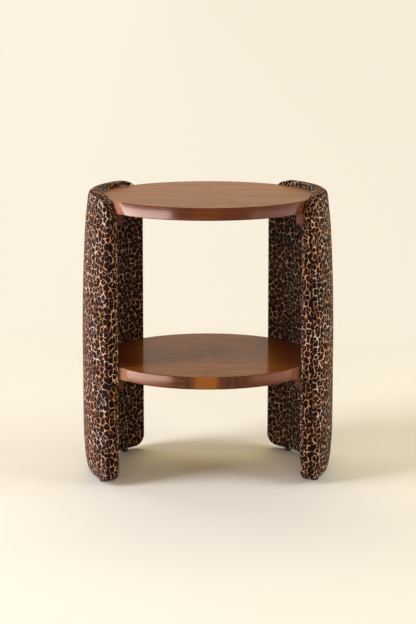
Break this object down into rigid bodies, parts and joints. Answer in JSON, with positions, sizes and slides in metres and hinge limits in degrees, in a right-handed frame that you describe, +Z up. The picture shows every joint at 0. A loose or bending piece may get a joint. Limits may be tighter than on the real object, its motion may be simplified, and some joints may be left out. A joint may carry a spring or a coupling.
{
  "type": "upholstered nightstand",
  "caption": "Nightstand with stacked round wooden shelves held between curved padded side panels in leopard-print pile fabric, standing on small glides.",
  "frame": {"origin": "on the floor, under the shelves' common axis, midway between front and back of the shelves", "axes": "+Z up along the shelves' axis, -Y towards the open front, +X towards the right panel seen from the front"},
  "size_m": [0.5072, 0.43, 0.58],
  "materials": {
    "lacquered_wood": "red-brown stain under glossy lacquer",
    "leopard_pile": "short cut pile with a small leopard print",
    "plywood": "bare bent plywood",
    "foam": "upholstery foam",
    "dust_cloth": "black nonwoven dust cloth",
    "fastener_steel": "zinc plated",
    "glide_plastic": "dark brown moulded plastic"
  },
  "bodies": {
    "root": {"top_shelf": "lacquered_wood", "lower_shelf": "lacquered_wood", "left_cover": "leopard_pile", "left_dust_cover": "dust_cloth", "left_inner_pad": "foam", "left_outer_pad": "foam", "left_inner_skin": "plywood", "left_outer_skin": "plywood", "left_top_rib": "plywood", "left_upper_rib": "plywood", "left_lower_rib": "plywood", "left_bottom_rib": "plywood", "left_front_stile": "plywood", "left_back_stile": "plywood", "left_front_glide": "glide_plastic", "left_back_glide": "glide_plastic", "left_top_cleat": "lacquered_wood", "left_top_front_bolt": "fastener_steel", "left_top_front_insert": "fastener_steel", "left_top_front_screw": "fastener_steel", "left_top_back_bolt": "fastener_steel", "left_top_back_insert": "fastener_steel", "left_top_back_screw": "fastener_steel", "left_lower_cleat": "lacquered_wood", "left_lower_front_bolt": "fastener_steel", "left_lower_front_insert": "fastener_steel", "left_lower_front_screw": "fastener_steel", "left_lower_back_bolt": "fastener_steel", "left_lower_back_insert": "fastener_steel", "left_lower_back_screw": "fastener_steel", "right_cover": "leopard_pile", "right_dust_cover": "dust_cloth", "right_inner_pad": "foam", "right_outer_pad": "foam", "right_inner_skin": "plywood", "right_outer_skin": "plywood", "right_top_rib": "plywood", "right_upper_rib": "plywood", "right_lower_rib": "plywood", "right_bottom_rib": "plywood", "right_front_stile": "plywood", "right_back_stile": "plywood", "right_front_glide": "glide_plastic", "right_back_glide": "glide_plastic", "right_top_cleat": "lacquered_wood", "right_top_front_bolt": "fastener_steel", "right_top_front_insert": "fastener_steel", "right_top_front_screw": "fastener_steel", "right_top_back_bolt": "fastener_steel", "right_top_back_insert": "fastener_steel", "right_top_back_screw": "fastener_steel", "right_lower_cleat": "lacquered_wood", "right_lower_front_bolt": "fastener_steel", "right_lower_front_insert": "fastener_steel", "right_lower_front_screw": "fastener_steel", "right_lower_back_bolt": "fastener_steel", "right_lower_back_insert": "fastener_steel", "right_lower_back_screw": "fastener_steel"}
  },
  "joints": []
}
